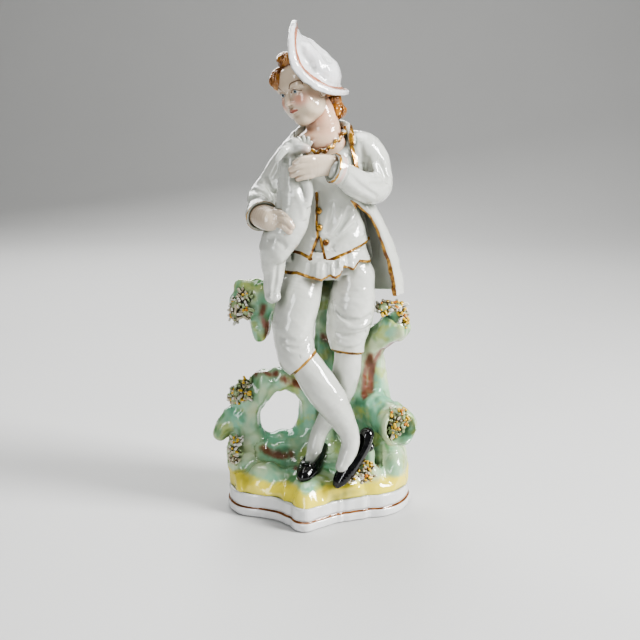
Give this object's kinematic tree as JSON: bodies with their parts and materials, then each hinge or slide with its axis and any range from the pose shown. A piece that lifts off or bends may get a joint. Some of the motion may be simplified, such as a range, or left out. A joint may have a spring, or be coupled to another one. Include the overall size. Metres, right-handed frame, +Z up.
{
  "type": "porcelain figurine",
  "caption": "Glazed, painted figurine of a young man in hat, coat and breeches, leaning on a mossy stump and holding a lamb, on a low lobed plinth.",
  "frame": {"origin": "on the standing face, under the middle of the plinth", "axes": "+Z up, +X to the viewer's right across the figure, -Y towards the viewer"},
  "size_m": [0.1383, 0.0888, 0.33],
  "materials": {
    "plinth_white": "white glaze with a brown-gold line",
    "mound_green": "green, yellow and brown painted glaze",
    "tree_green": "green painted glaze with red-brown streaks",
    "glaze_white": "clear glaze over a white body, brown-gold lines",
    "hat_white": "clear glaze with a pink-brown line",
    "flesh": "pale flesh tint under clear glaze",
    "hair_auburn": "orange-brown painted glaze",
    "shoe_black": "black glaze",
    "gilt": "brown-gold line work",
    "blossom": "yellow, orange, white and green painted glaze"
  },
  "bodies": {
    "root": {"plinth": "plinth_white", "base_plate": "plinth_white", "mound": "mound_green", "trunk": "tree_green", "upper_right_bough": "tree_green", "upper_left_bough": "tree_green", "upper_left_twig": "tree_green", "arch_post": "tree_green", "arch_limb": "tree_green", "arch_twig": "tree_green", "lower_right_bough": "tree_green", "heel_prop": "tree_green", "hips": "glaze_white", "crossing_breeches": "glaze_white", "standing_breeches": "glaze_white", "crossing_stocking": "glaze_white", "standing_stocking": "glaze_white", "crossing_shoe": "shoe_black", "standing_shoe": "shoe_black", "waistcoat": "glaze_white", "waistcoat_buttons": "gilt", "coat_back": "glaze_white", "coat_skirt": "glaze_white", "shirt_frill": "glaze_white", "right_sleeve": "glaze_white", "left_sleeve": "glaze_white", "right_cuff": "glaze_white", "left_cuff": "glaze_white", "right_hand": "flesh", "left_hand": "flesh", "lamb_body": "glaze_white", "lamb_head": "glaze_white", "lamb_ear": "glaze_white", "lamb_foreleg": "glaze_white", "lamb_hind_leg": "glaze_white", "neck": "flesh", "head": "flesh", "collar_frill": "glaze_white", "hat_crown": "hat_white", "hat_brim": "hat_white", "temple_curls": "hair_auburn", "nape_curls": "hair_auburn", "blossoms_upper_left": "blossom", "blossoms_arch": "blossom", "blossoms_mound_left": "blossom", "blossoms_upper_right": "blossom", "blossoms_lower_right": "blossom", "blossoms_shoe": "blossom"}
  },
  "joints": []
}
